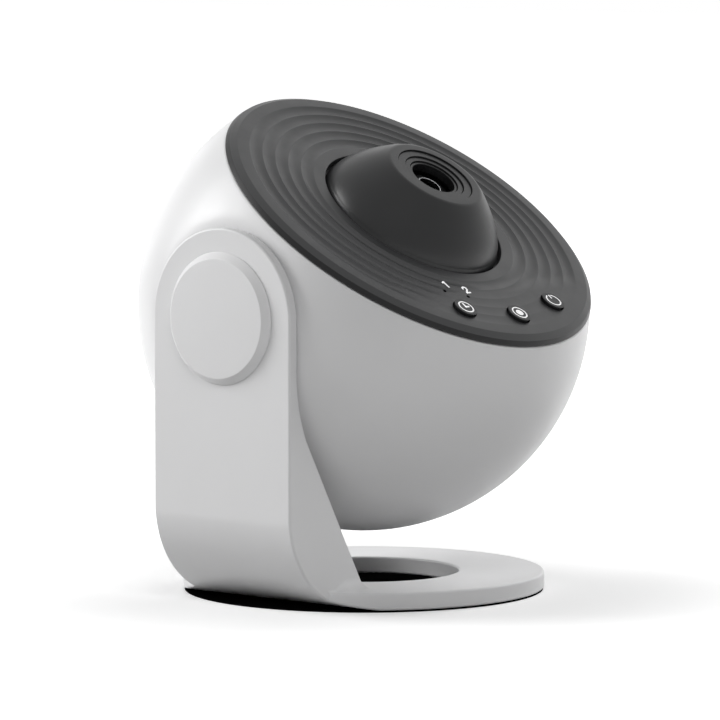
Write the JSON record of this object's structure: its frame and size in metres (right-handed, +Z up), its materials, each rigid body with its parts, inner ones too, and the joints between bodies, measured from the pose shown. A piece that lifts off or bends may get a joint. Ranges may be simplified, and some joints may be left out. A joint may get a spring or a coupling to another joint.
{
  "type": "planetarium projector",
  "caption": "Ball-shaped star projector: a tilting ball head with a focus dome and push buttons, carried by one arm on a flat ring base.",
  "frame": {"origin": "on the table, under the centre of the ball head", "axes": "+Z up; +Y along the tilt axis, away from the arm; +X to the front, where the lens leans"},
  "size_m": [0.1506, 0.1494, 0.1626],
  "materials": {
    "white_plastic": "satin white moulding",
    "graphite_plastic": "satin graphite moulding",
    "button_plastic": "satin dark caps",
    "black_plastic": "matt black inner mouldings",
    "nylon": "natural nylon",
    "rubber": "matt black",
    "steel": "zinc plated",
    "dark_steel": "oiled",
    "alloy": "anodised",
    "circuit_board": "green solder mask",
    "component": "moulded black component",
    "brass": "turned",
    "lens_glass": "clear coated glass",
    "film": "dark film with clear stars",
    "lamp": "yellow phosphor",
    "indicator": "clear light pipe"
  },
  "bodies": {
    "stand": {"stand_shell": "white_plastic", "arm_cover": "white_plastic", "ballast_plate": "dark_steel", "base_plate": "black_plastic", "base_screws": "steel", "rubber_pad": "rubber", "friction_washer": "nylon", "wave_washer": "steel", "pivot_cap": "white_plastic"},
    "head": {"head_shell": "white_plastic", "pivot_hub": "black_plastic", "hub_screws": "steel", "clamp_disc": "steel", "pivot_bolt": "steel", "rear_cover": "white_plastic", "rear_cover_screws": "steel", "main_board": "circuit_board", "main_board_screws": "steel", "usb_socket": "steel", "front_plate": "graphite_plastic", "button_board": "circuit_board", "button_board_screws": "steel", "tact_switches": "component", "timer_leds": "lamp", "light_pipes": "indicator", "lens_mount": "black_plastic", "mount_screws": "steel", "light_housing": "black_plastic", "disc_keeper": "black_plastic", "gear_motor": "alloy", "motor_screws": "steel", "condenser_lens": "lens_glass", "condenser_ring": "steel", "led_board": "alloy", "led_lamp": "lamp", "heatsink": "alloy", "heatsink_screws": "steel"},
    "focus_dome": {"lens_dome": "graphite_plastic"},
    "lens_carriage": {"lens_barrel": "black_plastic", "front_lens": "lens_glass", "rear_lens": "lens_glass", "front_retainer": "alloy", "rear_retainer": "black_plastic"},
    "disc_turntable": {"disc_carrier": "nylon", "star_disc": "film", "disc_clip": "steel"},
    "motor_pinion": {"drive_pinion": "brass", "motor_shaft": "steel"},
    "timer_cap": {"timer_button": "button_plastic"},
    "mode_cap": {"mode_button": "button_plastic"},
    "power_cap": {"power_button": "button_plastic"}
  },
  "joints": [
    {"name": "head_tilt", "type": "hinge", "parent": "stand", "child": "head", "pos_m": [0, 0, 0.0947], "axis": [0, 1, 0], "range_deg": [-55, 55]},
    {"name": "focus_turn", "type": "hinge", "parent": "head", "child": "focus_dome", "pos_m": [0, 0, 0.0947], "axis": [0.5673, 0, 0.8235], "range_deg": [-75, 75]},
    {"name": "lens_slide", "type": "slide", "parent": "head", "child": "lens_carriage", "axis": [0.5673, 0, 0.8235], "range_m": [-0.002, 0.002]},
    {"name": "star_disc_spin", "type": "hinge", "parent": "head", "child": "disc_turntable", "pos_m": [0, 0, 0.0947], "axis": [0.5673, 0, 0.8235], "continuous": true},
    {"name": "pinion_spin", "type": "hinge", "parent": "head", "child": "motor_pinion", "pos_m": [-0.02767, 0, 0.11376], "axis": [0.5673, 0, 0.8235], "continuous": true},
    {"name": "timer_press", "type": "slide", "parent": "head", "child": "timer_cap", "axis": [-0.5673, 0, -0.8235], "range_m": [0, 0.0008], "stiffness_N_per_m": 1500},
    {"name": "mode_press", "type": "slide", "parent": "head", "child": "mode_cap", "axis": [-0.5673, 0, -0.8235], "range_m": [0, 0.0008], "stiffness_N_per_m": 1500},
    {"name": "power_press", "type": "slide", "parent": "head", "child": "power_cap", "axis": [-0.5673, 0, -0.8235], "range_m": [0, 0.0008], "stiffness_N_per_m": 1500}
  ],
  "couplings": [
    {"joint": "focus_turn", "follows": "lens_slide", "rad_per_m": 654.5},
    {"joint": "pinion_spin", "follows": "star_disc_spin", "ratio": -5}
  ]
}
